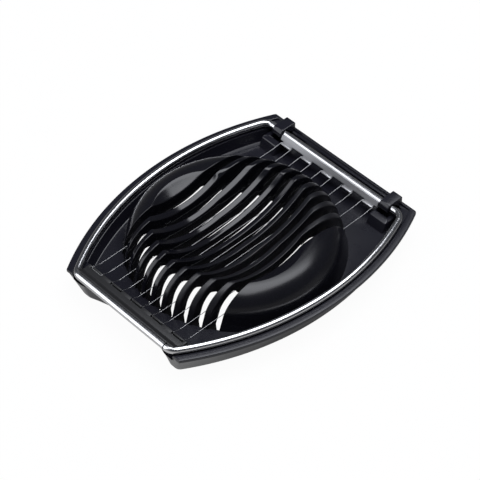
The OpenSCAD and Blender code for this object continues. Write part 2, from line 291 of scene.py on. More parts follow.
def smaller(a, b, k):
    """The smaller of a and b, rounded: min(a, b) less h*h*k/4, where h is 1 - |a - b|/k held at 0."""
    h = np.maximum(k - np.abs(a - b), 0) / k
    return np.minimum(a, b) - h * h * k / 4


def larger(a, b, k):
    """The larger of a and b, rounded where they cross."""
    return -smaller(-a, -b, k)


def ramp(value, start, end):
    """How far value has come from start to end, held at 0 and 1."""
    return np.clip((value - start) / (end - start), 0, 1)


def in_mm(length):
    """A length in metres as millimetres, to a whole nanometre."""
    return round(length / MM, 6)


def unit(vectors, least=1e-30):
    """Each vector divided by its own length, or by least where it is shorter than that."""
    return vectors / np.maximum(np.linalg.norm(vectors, axis=-1, keepdims=True), least)


def quarter_turn(vectors):
    """Plane vectors turned a quarter to the left: (u, v) becomes (-v, u)."""
    return np.stack([-vectors[:, 1], vectors[:, 0]], 1)


def arc(x, y, radius, turn):
    """Points round (x, y): radius times the cosine and the sine of each angle of turn."""
    return np.stack([x + radius * np.cos(turn), y + radius * np.sin(turn)], 1)


def half_chord(radius, x):
    """Half the length of a circle's chord at x: the root of radius squared less x squared."""
    return math.sqrt(max(radius**2 - x * x, 0))


def at_x(line, x):
    """A (y, z) line put at x."""
    return np.concatenate([np.full((len(line), 1), x), line], 1)


def at_height(line, z):
    """A plan line put at the height z."""
    return np.concatenate([line, np.full((len(line), 1), z)], 1)


def spaced(curve, count, bend):
    """count points along a curve, evenly spaced by length plus bend times the turning angle."""
    step = np.diff(curve, axis=0)
    way = unit(step, 1e-9)
    turn = np.arccos(np.clip((way[1:] * way[:-1]).sum(1), -1, 1))
    cost = np.linalg.norm(step, axis=1) + bend * (np.append(turn, 0) + np.append(0, turn)) / 2
    at = np.append(0, np.cumsum(cost))
    where = np.linspace(0, at[-1], count)
    return np.stack([np.interp(where, at, part) for part in curve.T], 1)


def softened(points, radius):
    """A closed line with each corner rounded by the parabola (1 - t)^2 a + 2 t (1 - t) corner + t^2 b.

    a and b stand a radius before and after the corner, or 0.45 of the way to its neighbour if that is
    less."""
    corners = np.asarray(points, float)
    ends = []
    for shift in (1, -1):
        way = np.roll(corners, shift, 0) - corners
        length = np.linalg.norm(way, axis=1)[:, None]
        ends.append(corners + way / length * np.minimum(radius, 0.45 * length))
    before, after = (end[:, None] for end in ends)
    t = np.linspace(0, 1, 4)[:, None]
    return ((1 - t) ** 2 * before + 2 * t * (1 - t) * corners[:, None] + t**2 * after).reshape(-1, 2)


def soft_box(y0, y1, z0, z1, radius):
    """A (y, z) rectangle with softened corners."""
    return softened([[y0, z0], [y1, z0], [y1, z1], [y0, z1]], radius)


def round_corners(x0, x1, y0, y1, radius, count):
    """The four corner arcs of a rounded rectangle, anticlockwise from the front right one."""
    turn = np.linspace(0, math.pi / 2, count)
    arcs = []
    for x, y, quarter in ((x1, y0, -1), (x1, y1, 0), (x0, y1, 1), (x0, y0, 2)):
        cx = x - math.copysign(radius, x - (x0 + x1) / 2)
        cy = y - math.copysign(radius, y - (y0 + y1) / 2)
        arcs.append(arc(cx, cy, radius, turn + quarter * math.pi / 2))
    return arcs


def grid_faces(rows, columns, closed_rows=False, closed_columns=False):
    """The quads of a grid of points stored row by row."""
    i = np.arange(rows if closed_rows else rows - 1)[:, None]
    j = np.arange(columns if closed_columns else columns - 1)[None, :]
    i2, j2 = (i + 1) % rows, (j + 1) % columns
    quads = [i * columns + j, i * columns + j2, i2 * columns + j2, i2 * columns + j]
    return np.stack(quads, -1).reshape(-1, 4)


def end_faces(rows, columns):
    """The two faces that close a grid's first and last row."""
    return np.arange(columns) + np.array([[0], [(rows - 1) * columns]])


def solid(name, parts, material, sharp):
    """One object from closed surfaces, each an array of points in millimetres and a list of face arrays.

    Points are welded, faces are turned outward, and shading is smooth except over edges sharper than
    sharp."""
    points, faces, first = [], [], 0
    for grid, groups in parts:
        points.append(grid.reshape(-1, 3))
        for group in groups:
            faces += (group + first).tolist()
        first += len(points[-1])
    points = (np.concatenate(points) - (0, MIDDLE, 0)) * MM
    mesh = bpy.data.meshes.new(name)
    mesh.from_pydata(points.tolist(), [], faces)
    work = bmesh.new()
    work.from_mesh(mesh)
    bmesh.ops.remove_doubles(work, verts=work.verts, dist=1e-7)
    bmesh.ops.dissolve_degenerate(work, edges=work.edges, dist=1e-7)
    bmesh.ops.recalc_face_normals(work, faces=work.faces)
    work.to_mesh(mesh)
    work.free()
    mesh.polygons.foreach_set("use_smooth", np.ones(len(mesh.polygons), bool))
    mesh.set_sharp_from_angle(angle=math.radians(sharp))
    mesh.materials.append(material)
    piece = bpy.data.objects.new(name, mesh)
    bpy.context.scene.collection.objects.link(piece)
    return piece


def tube(path, radius, sides):
    """A round section carried along a closed path, each ring square to it.

    A ring's point at the turn t is path + radius * (cos t * across + sin t * over), across being level."""
    ahead = unit(np.roll(path, -1, 0) - np.roll(path, 1, 0))
    across = unit(np.cross(ahead, (0.0, 0.0, 1.0)))
    over = np.cross(across, ahead)
    turn = np.linspace(0, 2 * math.pi, sides, endpoint=False)[:, None]
    ring = np.cos(turn) * across[:, None] + np.sin(turn) * over[:, None]
    grid = path[:, None] + radius * ring
    return grid, [grid_faces(len(path), sides, closed_rows=True, closed_columns=True)]


def prism(line, x0, x1, soft):
    """A closed (y, z) line carried along X from x0 to x1, both ends rounded by soft.

    At soft * (1 - cos q) from an end the line is set in by soft * (1 - sin q), q from 0 to a quarter
    turn."""
    way = unit(np.roll(line, -1, 0) - np.roll(line, 1, 0))
    area = (line[:, 0] * np.roll(line[:, 1], -1) - np.roll(line[:, 0], -1) * line[:, 1]).sum()
    inward = quarter_turn(way) * math.copysign(1, area)
    q = np.linspace(0, math.pi / 2, 4)
    along = soft * (1 - np.cos(q))
    set_in = soft * (1 - np.sin(q))
    xs = np.concatenate([x0 + along, (x1 - along)[::-1]])
    depths = np.concatenate([set_in, set_in[::-1]])
    grid = np.stack([at_x(line + inward * depth, x) for x, depth in zip(xs, depths)])
    rows, columns = grid.shape[:2]
    return grid, [grid_faces(rows, columns, closed_columns=True), end_faces(rows, columns)]


# The cup


def outer_height(r, set_in=0.0):
    """Height of the cup's outline over the radius r, set in by a thickness.

    It is a flat crown, a shoulder on an arc about the crown's edge, and a straight wall that leaves the arc
    without a kink and leans out to the foot on the tray's floor."""
    bend = SHOULDER_R - set_in
    foot = CUP_R - set_in
    run, drop = foot - CROWN_R, FLOOR - SHOULDER_Z
    lean = math.atan2(drop, run) + math.acos(bend / math.hypot(run, drop))
    touch_r = CROWN_R + bend * math.cos(lean)
    touch_z = SHOULDER_Z + bend * math.sin(lean)
    shoulder = SHOULDER_Z + np.sqrt(np.maximum(bend**2 - (r - CROWN_R) ** 2, 0))
    wall = FLOOR + (foot - r) * (touch_z - FLOOR) / (foot - touch_r)
    return np.where(r < CROWN_R, SHOULDER_Z + bend, np.where(r < touch_r, shoulder, wall))


def lobe_height(along, across, section, length, grow):
    """Lower surface of a lobe, lowest LOBE_GAP above the wires: the length less the root of the reach
    squared less along squared, where the reach is the length less the section plus the section circle's own
    height."""
    reach = length - section + np.sqrt(np.maximum((section + grow) ** 2 - across**2, 0))
    return WIRE_Z + LOBE_GAP + length - np.sqrt(np.maximum(reach**2 - along**2, 0))


def hollow(x, y, crease, grow=0.0):
    """The lower of the two lobes, one across the wires and one along them, with a rounded crease."""
    across = lobe_height(x, y - ACROSS_Y, ACROSS_SECTION, ACROSS_LENGTH, grow)
    along = lobe_height(y, x, ALONG_SECTION, ALONG_LENGTH, grow)
    return smaller(across, along, crease)


def cup_top(x, y):
    """Top of the cup: the lowest of its outline and the two lobes, with rounded meeting lines."""
    return smaller(outer_height(np.hypot(x, y)), hollow(x, y, 0.15), 0.5)


def cup_wall(x, y):
    """Thickness of the cup under its hollow: 4.75 in the middle, up to 0.65 more to the left behind the
    front shoulder, 0.55 less than that at the left end, and 1.5 less at the right end."""
    more_left = 0.65 * ramp(-x, 8, 19) * ramp(y, -14, -8)
    return 4.75 + more_left - 1.5 * ramp(x, 17, 20) - 0.55 * ramp(-x, 21, 23)


def cup_ring(x, y):
    """1 where the stiffening ring hangs under the cup and 0 elsewhere, with steep sides.

    Its outer radius grows from 26.4 in front to 33 at the rear. Its inner radius is 22.3 in the middle and
    grows toward both ends, at the left one so far that the ring stops there."""
    r = np.hypot(x, y)
    inner = 22.3 + 1.7 * ramp(-x, 19, 21) + 12 * ramp(-x, 21, 23) + 4.8 * ramp(x, 19, 21)
    outer = 29.7 + 3.3 * np.clip(y / 5, -1, 1)
    return ramp(r - inner, 0, 0.4) * ramp(outer - r, 0, 0.8)


def cup_under(x, y):
    """Underside of the cup: the lower of its inner outline and the thickened lobes, less the ring."""
    under = smaller(outer_height(np.hypot(x, y), CUP_WALL), hollow(x, y, 0.4, cup_wall(x, y)), 0.4)
    return under - 2.2 * cup_ring(x, y)


def half_places(x, edge):
    """Distances from the middle of a section at x, from the edge inward.

    They are even steps in y, and even steps in radius besides, finer in the last 1.6 before the edge."""
    fine_from = edge - 1.6
    radius = np.concatenate([np.arange(fine_from, edge, 0.1), np.arange(min(abs(x), edge), fine_from, 0.35)])
    by_radius = np.sqrt(radius[radius > abs(x)] ** 2 - x * x)
    evenly = np.linspace(0, half_chord(edge, x), 90)
    return np.unique(np.concatenate([by_radius, evenly]))[::-1]


def section_line(x, edge, foot, height):
    """The section of a surface of the cup at x, from its front foot over its height to its rear foot."""
    half = half_places(x, edge)
    y = np.concatenate([-half[:-1], half[::-1]])
    low = half_chord(foot, x)
    over = np.stack([y, height(np.full_like(y, x), y)], 1)
    return np.concatenate([[[-low, CUP_LOW]], over, [[low, CUP_LOW]]])


def cup_section(x, count):
    """The cup cut at x: its top line and its underside line, each with count points from front to rear.

    Outside the inner foot the cup is solid, and the underside is the straight line between its feet."""
    top = section_line(x, CUP_R, OUTER_FOOT, cup_top)
    if abs(x) > INNER_FOOT:
        low = half_chord(OUTER_FOOT, x)
        under = np.array([[-low, CUP_LOW], [low, CUP_LOW + 1e-6]])
    else:
        under = section_line(x, CUP_R - CUP_WALL, INNER_FOOT, cup_under)
    return spaced(top, count, 1.2), spaced(under, count, 1.2)


def lowered(line, depth):
    """A line from front to rear, moved down by depth square to itself."""
    return line - quarter_turn(unit(np.gradient(line, axis=0))) * depth


def rounded_band(half, radius):
    """Places across a rib from -half to half, and how far its surface drops there.

    Near an edge the place is half - radius*(1 - sin) and the drop radius*(1 - cos)."""
    turn = np.linspace(0, math.pi / 2, 5)
    out = half - radius + radius * np.sin(turn)
    drop = radius - radius * np.cos(turn)
    flat = np.linspace(-1, 1, 5)[1:-1] * (half - radius)
    across = np.concatenate([-out[::-1], flat, out])
    dip = np.concatenate([drop[::-1], np.zeros(3), drop])
    return across, dip


def rib(x0, edge):
    """One rib: the cup's sections carried across the rib's width, its four long edges rounded, the lower two
    by 0.3 as much. Rows go from the front foot to the rear foot, columns once round the rib."""
    tops, unders = [], []
    for across, dip in zip(*rounded_band((PITCH - SLOT) / 2, edge)):
        top, under = cup_section(x0 + across, 170)
        tops.append(at_x(lowered(top, dip), x0 + across))
        unders.append(at_x(lowered(under, -0.3 * dip), x0 + across))
    grid = np.stack(tops + unders[::-1], 1)
    rows, columns = grid.shape[:2]
    return grid, [grid_faces(rows, columns, closed_columns=True), end_faces(rows, columns)]


def cup_end(side):
    """A solid end of the cup outside the last slot: sections of the cup from the slot out to the cup's side.

    The first few round the edge at the slot. The rest crowd together toward the side, as a sine does, and
    shrink to a short upright line there. Quads between the top and the underside close both ends."""
    count, sections, edge = 220, 64, 0.3
    q = np.linspace(0.4, math.pi / 2, 4)
    far = CUP_R - 0.02
    body = np.sin(np.linspace(0, 1, sections)[1:] * math.pi / 2)
    xs = np.concatenate([
        [END_X],
        END_X + 0.25 * (1 - np.cos(q)),
        END_X + edge + (far - END_X - edge) * body,
    ])
    drops = np.concatenate([[edge], edge * (1 - np.sin(q)), np.zeros(len(body))])
    tops, unders = [], []
    for x, drop in zip(side * xs, drops):
        top, under = cup_section(x, count)
        tops.append(at_x(lowered(top, drop), x))
        unders.append(at_x(under, x)[::-1])
    grid = np.concatenate([tops, unders], 1)
    k = np.arange(count - 1)
    close = np.stack([k, k + 1, 2 * count - 2 - k, 2 * count - 1 - k], 1)
    last = (len(xs) - 1) * 2 * count
    return grid, [grid_faces(len(xs), 2 * count, closed_columns=True), close, last + close]


# The tray


def corner(inset, y, radius):
    """Centre and turning angle of a corner between a side arc, set in by inset, and the straight edge at y.

    The centre stands radius inside both, and the angle is where the corner meets the side arc."""
    cy = y - math.copysign(radius, y)
    cx = math.sqrt((SIDE_R - inset - radius) ** 2 - (cy - BELLY) ** 2) - SIDE_X
    return cx, cy, math.atan2(cy - BELLY, cx + SIDE_X)


def side_arc(inset, turn):
    """Points of the right side arc, set in by inset, at the angles of turn."""
    return arc(-SIDE_X, BELLY, SIDE_R - inset, turn)


def across_rear(right, count):
    """A line up the right side, carried straight across the rear and down the mirrored left side."""
    left = right[::-1] * (-1, 1)
    return np.concatenate([right, np.linspace(right[-1], left[0], count)[1:-1], left])


def front_places(edge):
    """Places along the front edge from left to right, with a close pair at each end of the rail's room."""
    room = min(RAIL_ROOM_X, edge - 0.5)
    outer = np.linspace(room + 0.04, edge, 12)
    inner = np.linspace(-room, room, 72)
    return np.concatenate([-outer[::-1], inner, outer])


def outline(inset, front, rear, height, radius):
    """A closed plan line round the tray: right side, rear, left side and front, with rounded corners."""
    front_x, front_y, front_turn = corner(inset, -front, radius)
    rear_x, rear_y, rear_turn = corner(inset, rear, radius)
    right = np.concatenate([
        arc(front_x, front_y, radius, np.linspace(-math.pi / 2, front_turn, EDGE_STEPS)),
        side_arc(inset, np.linspace(front_turn, rear_turn, 82)[1:-1]),
        arc(rear_x, rear_y, radius, np.linspace(rear_turn, math.pi / 2, EDGE_STEPS)),
    ])
    x = front_places(front_x)[1:-1]
    front_line = np.stack([x, np.full_like(x, -front)], 1)
    return at_height(np.concatenate([across_rear(right, REAR_STEPS), front_line]), height)


def open_outline(inset, front, rear, radius):
    """A plan line up the right side, along the rear and down the left side."""
    rear_x, rear_y, rear_turn = corner(inset, rear, radius)
    start = math.asin((-front - BELLY) / (SIDE_R - inset))
    right = np.concatenate([
        side_arc(inset, np.linspace(start, rear_turn, 90)[:-1]),
        arc(rear_x, rear_y, radius, np.linspace(rear_turn, math.pi / 2, EDGE_STEPS)),
    ])
    return across_rear(right, REAR_STEPS)


def cut_front(line, grow=0.0, notch=True):
    """The finger recess cut into a closed plan line, and the rail's room, which lowers the front wall's top.

    Across the recess, y is at least BITE_Y plus the root of bite squared less x squared. The bite's radius
    shrinks evenly with height."""
    x, y, z = line.T
    bite = BITE_R + grow - BITE_TAPER * z / BITE_TALL
    recess = BITE_Y + np.sqrt(np.maximum(bite**2 - x * x, 0))
    at_front = y < -40
    y = np.where(at_front & (np.abs(x) < BITE_HALF), larger(y, recess, 0.25), y)
    if notch:
        z = np.where(at_front & (np.abs(x) <= RAIL_ROOM_X), np.minimum(z, RAIL_ROOM_Z), z)
    return np.stack([x, y, z], 1)


def tray_line(inset, front, rear, height, radius):
    """A line of the tray's outer or inner face, with the recess and, high enough up, the rail's room."""
    return cut_front(outline(inset, front, rear, height, radius), notch=height > RAIL_ROOM_Z)


def ring_line(radius, height, like):
    """A circle with a point for each point of another closed line, at that point's own bearing."""
    return at_height(arc(0, 0, radius, np.arctan2(like[:, 1], like[:, 0])), height)


def tray_body():
    """The tray without its rim: plan lines from the foot up the outside, over the ledge, down to the floor,
    in to the hole under the cup, and back out under the floor to the foot.

    A line is its inset from the side arcs, its front edge, its rear edge and its height. The outside leans
    out by an even share of 4.5, 2.68 and 1.2 from the foot to the rim, and its corners grow tighter
    upward."""
    outside = [(5.25, 48.25, 51.35, 0.0), (5.07, 48.43, 51.53, 0.06), (5.0, 48.5, 51.6, 0.22)]
    for share in (0.02, 0.15, 0.3, 0.45, 0.6, 0.75, 0.9, 1.0):
        height = max(0.25, FLANGE * share)
        outside.append((5.0 - 4.5 * share, 48.5 + 2.68 * share, 51.6 + 1.2 * share, height))
    outside += [(0.5, 51.28, 52.8, 9.3), (0.55, 51.22, 52.75, 9.52)]
    ledge = [(0.7, 51.05, 52.6, LEDGE), (2.0, 50.0, 52.4, LEDGE), (5.3, 44.1, 51.5, LEDGE)]
    ledge_edge = [(5.52, 43.87, 51.3, 9.53), (5.6, 43.78, 51.22, 9.35)]
    inner_wall = [(5.75, 43.65, 51.15, 8.6), (6.45, 43.2, 50.88, 5.9)]
    floor_edge = [(6.6, 43.1, 50.8, 5.45), (6.75, 42.95, 50.65, 5.2), (7.1, 42.6, 50.3, FLOOR)]
    below = [(5.5, 46.5, 49.6, FLOOR_UNDER), (6.9, 46.5, 49.6, 0.2), (6.75, 46.75, 49.85, 0.0)]
    lines = [tray_line(*line, 0.9 + 1.5 * (1 - line[-1] / LEDGE)) for line in outside]
    lines += [tray_line(*line, 0.5) for line in ledge + ledge_edge + inner_wall + floor_edge]
    lines += [ring_line(CUP_R - 0.5, height, lines[-1]) for height in (FLOOR, FLOOR_UNDER)]
    lines += [cut_front(outline(*line, 0.5), grow=2.0, notch=False) for line in below]
    grid = np.stack(lines)
    return grid, [grid_faces(*grid.shape[:2], closed_rows=True, closed_columns=True)]


def rim(soft):
    """The flange with the flat rim on it: a section carried along the sides and the rear.

    Each row of the section is the outer or the inner plan line, moved toward the other and put at a height.
    The two top edges are quarter circles of radius soft."""
    outer = open_outline(0.0, FRONT, REAR, 0.9)
    inner = open_outline(2.6, FRONT, REAR - 1.0, 0.5)
    inward = unit(inner - outer)
    low = TRAY_TOP - soft
    rows = [at_height(outer + inward * 0.12, FLANGE), at_height(outer, FLANGE + 0.12)]
    for t in np.linspace(0, math.pi / 2, 4):
        rows.append(at_height(outer + inward * soft * (1 - math.cos(t)), low + soft * math.sin(t)))
    for t in np.linspace(0, math.pi / 2, 4):
        rows.append(at_height(inner - inward * soft * (1 - math.sin(t)), low + soft * math.cos(t)))
    rows += [at_height(inner, 9.4), at_height(outer + inward * 0.6, FLANGE)]
    grid = np.stack(rows)
    columns = grid.shape[1]
    ends = np.arange(len(rows)) * columns + np.array([[0], [columns - 1]])
    return grid, [grid_faces(len(rows), columns, closed_rows=True), ends]


def box_line(x0, x1, y0, y1, radius, height):
    """A closed rectangular plan line with rounded corners."""
    return at_height(np.concatenate(round_corners(x0, x1, y0, y1, radius, 5)), height)


def corner_block(side):
    """A corner block with the well in it: rectangles from the floor up, over the soft top edge, and down the
    well to a point. Each is its left, right, front and rear edges, its corners' radius and its height."""
    outside = [(22.9, 30.5, 40.5, 51.6, 0.4, 4.6), (22.9, 30.5, 42.1, 51.6, 0.4, 8.5)]
    top = [(22.95, 30.45, 42.25, 51.6, 0.4, 8.75), (23.1, 30.3, 42.5, 51.5, 0.35, 8.9)]
    well = [
        (23.5, 28.8, 44.7, 49.0, 0.2, 8.9),
        (23.6, 28.7, 44.84, 48.86, 0.15, 8.75),
        (23.6, 28.7, 44.84, 48.86, 0.15, 4.9),
    ]
    middle = [(26.1, 26.2, 46.8, 46.9, 0.02, 4.9), (26.1, 26.2, 46.8, 46.9, 0.02, 4.6)]
    grid = np.stack([box_line(*box) for box in outside + top + well + middle]) * (side, 1, 1)
    return grid, [grid_faces(*grid.shape[:2], closed_rows=True, closed_columns=True)]


def hook(side):
    """A hook: an upside-down J round the rod, flat on top, with a round nose and a bore open below."""
    outer_r, bore_r = 2.26, ROD_R + 0.06
    nose = arc(HINGE_Y, ROD_Z, outer_r, np.radians(np.linspace(111.7, 197.5, 14)))
    bore = arc(HINGE_Y, ROD_Z, bore_r, np.radians(np.linspace(212, 0, 22)))
    back = [[HINGE_Y + bore_r, 8.6], [52.8, 8.6], [52.8, 13.0], [52.7, 13.22], [52.5, 13.3]]
    line = spaced(np.concatenate([nose, bore, back, nose[:1]]), 111, 0.6)[:-1]
    grid, faces = prism(line, 24.0, 28.3, 0.25)
    return grid * (side, 1, 1), faces


# The wire frame


def wire_x(k):
    """Where wire k, from 1 to 10, crosses the cup."""
    return (k - 5.5) * PITCH


def rod_path():
    """The rod's closed line: straight bars at the front and the hinge, round bends, and the tray's side arcs
    set in from its edge."""
    front_x, front_y, front_turn = corner(ROD_INSET, -BAR_Y, FRONT_BEND)
    rear_x, rear_y, rear_turn = corner(ROD_INSET, HINGE_Y, REAR_BEND)
    right = np.concatenate([
        arc(front_x, front_y, FRONT_BEND, np.linspace(-math.pi / 2, front_turn, 24)),
        side_arc(ROD_INSET, np.linspace(front_turn, rear_turn, 120)[1:-1]),
        arc(rear_x, rear_y, REAR_BEND, np.linspace(rear_turn, math.pi / 2, 24)),
    ])
    loop = across_rear(right, 40)
    bar = np.linspace(loop[-1], loop[0], 40)[1:-1]
    return at_height(np.concatenate([loop, bar]), ROD_Z)


def strip_line(length, tab):
    """The bent sheet's closed (y, z) line: an arc of 172 degrees round the rod and a straight flat or, for a
    tab, only the flat's lower part and a hook of 150 degrees that turns up round the wire.

    The middle line is set off half the sheet's thickness to either side, a little less for a tab so that it
    stays inside the flat. The edges of both ends are rounded by soft."""
    slope = math.radians(STRIP_SLOPE)
    down = np.array([-math.cos(slope), -math.sin(slope)])
    out = np.array([-math.sin(slope), math.cos(slope)])
    rod = np.array([HINGE_Y, ROD_Z])
    clear = 0.01
    mean = ROD_R + clear + STRIP_T / 2
    start = rod + mean * out
    end = start + down * length
    if tab:
        bend = 0.25 + STRIP_T / 2
        turn = np.linspace(0, math.radians(150), 14)[1:, None]
        hooked = end + out * bend + bend * (np.sin(turn) * down - np.cos(turn) * out)
        middle = np.concatenate([np.linspace(start + down * 1.2, end, 8), hooked])
    else:
        turn = np.linspace(math.radians(-172), 0, 40)[:, None]
        curl = rod + mean * (np.cos(turn) * out - np.sin(turn) * down)
        middle = np.concatenate([curl, np.linspace(start, end, 8)[1:]])
    way = unit(np.gradient(middle, axis=0))
    normal = quarter_turn(way)
    half = STRIP_T / 2 - (0.03 if tab else 0)
    soft = 0.15
    nose = np.linspace(-math.pi / 2, math.pi / 2, 6)[1:-1, None]
    ahead = soft * np.cos(nose)
    aside = (half - soft) * np.sign(nose) + soft * np.sin(nose)
    tip = middle[-1] + way[-1] * ahead + normal[-1] * aside
    tail = middle[0] - way[0] * ahead - normal[0] * aside
    return np.concatenate([middle - normal * half, tip, (middle + normal * half)[::-1], tail])


def rear_strip():
    """The rear strip: the curled sheet from end to end, and a tab for each loop of wire."""
    gap = 0.28
    parts = [prism(strip_line(1.85, False), -STRIP_HALF, STRIP_HALF, 0.12)]
    for k in range(1, 10, 2):
        parts.append(prism(strip_line(2.45, True), wire_x(k) + gap, wire_x(k + 1) - gap, 0.08))
    return parts


def wire_loop(k, radius):
    """One loop of wire: a thin tube on a rectangle with rounded corners through wires k and k + 1.

    The line rises by an even slope to 0.95 over the rail and to 0.47 over the tabs. At the rail every loop
    but the first dips 0.6 again, behind the lug."""
    front, rear, bend = -45.05, 44.49, 0.45
    arcs = round_corners(wire_x(k), wire_x(k + 1), front, rear, bend, 8)
    right = np.linspace(arcs[0][-1], arcs[1][0], 180)[1:-1]
    left = np.linspace(arcs[2][-1], arcs[3][0], 180)[1:-1]
    line = np.concatenate([arcs[0], right, arcs[1], arcs[2], left, arcs[3]])
    y = line[:, 1:]
    lift = 0.95 * ramp(-y, 41.5, 44.1) + 0.47 * ramp(y, 39, 44)
    if k > 1:
        lift = lift - 0.6 * ramp(-y, 44.2, 44.7)
    return tube(np.concatenate([line, WIRE_Z + lift], 1), radius, 12)


def rail_line():
    """The folded rail's closed (y, z) line: the bore that grips the bar, the end of the wrap below it, the
    flat underside, the rear face, the level land under the wires, and the slope up to the bar."""
    bore = arc(-BAR_Y, ROD_Z, ROD_R + 0.02, np.radians(np.linspace(60.3, -66, 16)))
    wrap = arc(-BAR_Y, ROD_Z, 2.05, np.radians(np.linspace(291, 300, 3)))
    under = [[-48.85, 8.44], [-48.7, RAIL_LOW], [-45.36, RAIL_LOW], [-45.31, 8.45]]
    rear = [[-45.31, 10.55], [-45.36, 10.66], [-45.46, RAIL_TOP]]
    land = [[-47.45, RAIL_TOP], [-47.62, 10.72], [-47.78, 10.84]]
    slope = [[-49.9, 12.95], [-50.02, 13.02], [-50.12, 12.98], [-50.15, 12.86]]
    return np.concatenate([bore, wrap, under, rear, land, slope])


def front_rail():
    """The rail: the folded strip, a shelf behind it, the lugs that the loops of wire are caught behind, and
    the lands between the lugs."""
    shelf = soft_box(-45.6, RAIL_BACK, RAIL_LOW, 9.2, 0.12)
    lug = soft_box(-44.8, RAIL_BACK, 8.6, RAIL_TOP - 0.01, 0.32)
    land = soft_box(-46.2, RAIL_BACK, 8.6, RAIL_TOP - 0.01, 0.42)
    parts = [
        prism(rail_line(), -RAIL_HALF, RAIL_HALF, 0.2),
        prism(shelf, -RAIL_HALF + 0.02, RAIL_HALF - 0.02, 0.15),
    ]
    gap = 0.24
    for k in range(1, 10, 2):
        parts.append(prism(lug, wire_x(k) + gap, wire_x(k + 1) - gap, 0.12))
    for k in range(0, 11, 2):
        left = wire_x(k) + gap if k > 0 else -RAIL_HALF
        right = wire_x(k + 1) - gap if k < 10 else RAIL_HALF
        parts.append(prism(land, left, right, 0.12))
    return parts


# Settings


class EggSlicerSizes(bpy.types.PropertyGroup):
    """The sizes that can be changed with the frame as it is."""

    wire_diameter: bpy.props.FloatProperty(
        name="Wire diameter", description="Thickness of the cutting wires",
        subtype="DISTANCE", unit="LENGTH", min=0.0001, max=0.0005, default=0.00022, precision=5,
    )
    rib_edge: bpy.props.FloatProperty(
        name="Rib edge", description="Radius of the rounded edges along the slots",
        subtype="DISTANCE", unit="LENGTH", min=0.0001, max=0.0008, default=0.00035, precision=5,
    )
    rim_edge: bpy.props.FloatProperty(
        name="Rim edge", description="Radius of the rounded edges on top of the rim",
        subtype="DISTANCE", unit="LENGTH", min=0.0001, max=0.0005, default=0.00028, precision=5,
    )


class EggSlicerFinish(bpy.types.PropertyGroup):
    """Colours and gloss of the egg slicer's materials."""

    plastic: bpy.props.FloatVectorProperty(
        name="Plastic", description="Colour of the moulded black plastic",
        subtype="COLOR", size=3, min=0, max=1, default=(0.005, 0.005, 0.0075),
    )
    plastic_roughness: bpy.props.FloatProperty(
        name="Plastic roughness", description="Roughness of the tray's moulded plastic on its right side",
        subtype="FACTOR", min=0.05, max=0.9, default=0.3,
    )
    rail: bpy.props.FloatVectorProperty(
        name="Rail", description="Colour of the front rail's plastic",
        subtype="COLOR", size=3, min=0, max=1, default=(0.016, 0.016, 0.017),
    )
    steel: bpy.props.FloatVectorProperty(
        name="Steel", description="Colour of the polished rod. The wires are a darker share of it",
        subtype="COLOR", size=3, min=0, max=1, default=(0.66, 0.66, 0.67),
    )
    sheet: bpy.props.FloatVectorProperty(
        name="Sheet", description="Colour of the rear strip's sheet steel",
        subtype="COLOR", size=3, min=0, max=1, default=(0.52, 0.52, 0.53),
    )


class EggSlicerStudio(bpy.types.PropertyGroup):
    """The stage: the camera, the lamps and the fill."""

    distance: bpy.props.FloatProperty(
        name="Distance", description="From the camera to the point it looks at",
        subtype="DISTANCE", unit="LENGTH", min=0.2, max=3, default=0.63872,
    )
    azimuth: bpy.props.FloatProperty(
        name="Azimuth", description="Camera's turn round the part, from straight in front",
        subtype="ANGLE", default=math.radians(46.3095),
    )
    elevation: bpy.props.FloatProperty(
        name="Elevation", description="Camera's height angle above the table",
        subtype="ANGLE", default=math.radians(46.1254),
    )
    aim: bpy.props.FloatVectorProperty(
        name="Aim", description="The point that the camera looks at",
        subtype="TRANSLATION", unit="LENGTH", size=3, default=(0.0015176, 0.0002190, 0.0089889),
    )
    lens: bpy.props.FloatProperty(
        name="Lens", description="Focal length in millimetres", min=20, max=300, default=140.73,
    )
    overhead: bpy.props.FloatProperty(
        name="Overhead", description="Power of the softbox above the part",
        unit="POWER", min=0, max=100, default=7.8,
    )
    panel: bpy.props.FloatProperty(
        name="Panel", description="Power of the panel at the front left",
        unit="POWER", min=0, max=100, default=6.0,
    )
    fill: bpy.props.FloatProperty(
        name="Fill", description="Strength of the soft fill from all round",
        subtype="FACTOR", min=0, max=1, default=0.085,
    )


# Operators


def add_piece(name, parts, material, body, sharp=40, node=None):
    """Makes a piece, lets it ride its body, and hides the CAD node it stands for, if one is given."""
    piece = solid(name, parts, material, sharp)
    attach(piece, body)
    if node:
        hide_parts(node)


class EGGSLICER_OT_tray(bpy.types.Operator):
    """Moulds the tray, its rim, its corner blocks and its hooks."""

    bl_idname = "egg_slicer.tray"
    bl_label = "Tray"

    def execute(self, context):
        look, sizes = context.scene.egg_slicer_finish, context.scene.egg_slicer_sizes
        # The tray's colour is twice the cup's plastic: a painted lightening of the same moulded plastic,
        # standing in for the light on the tray.
        colour = [2 * channel for channel in look.plastic]
        worn = (-0.01, 0.03, look.plastic_roughness)
        black = moulded_black("Moulded black", colour, roughness=0.13, worn=worn)
        add_piece("tray", [tray_body()], black, "base", sharp=35, node="base")
        add_piece("tray_rim", [rim(in_mm(sizes.rim_edge))], black, "base", sharp=35)
        for side, word in ((-1, "left"), (1, "right")):
            block = corner_block(side)
            add_piece(f"corner_block_{word}", [block], black, "base", sharp=35)
            add_piece(f"hook_{word}", [hook(side)], black, "base", sharp=35)
        return {"FINISHED"}


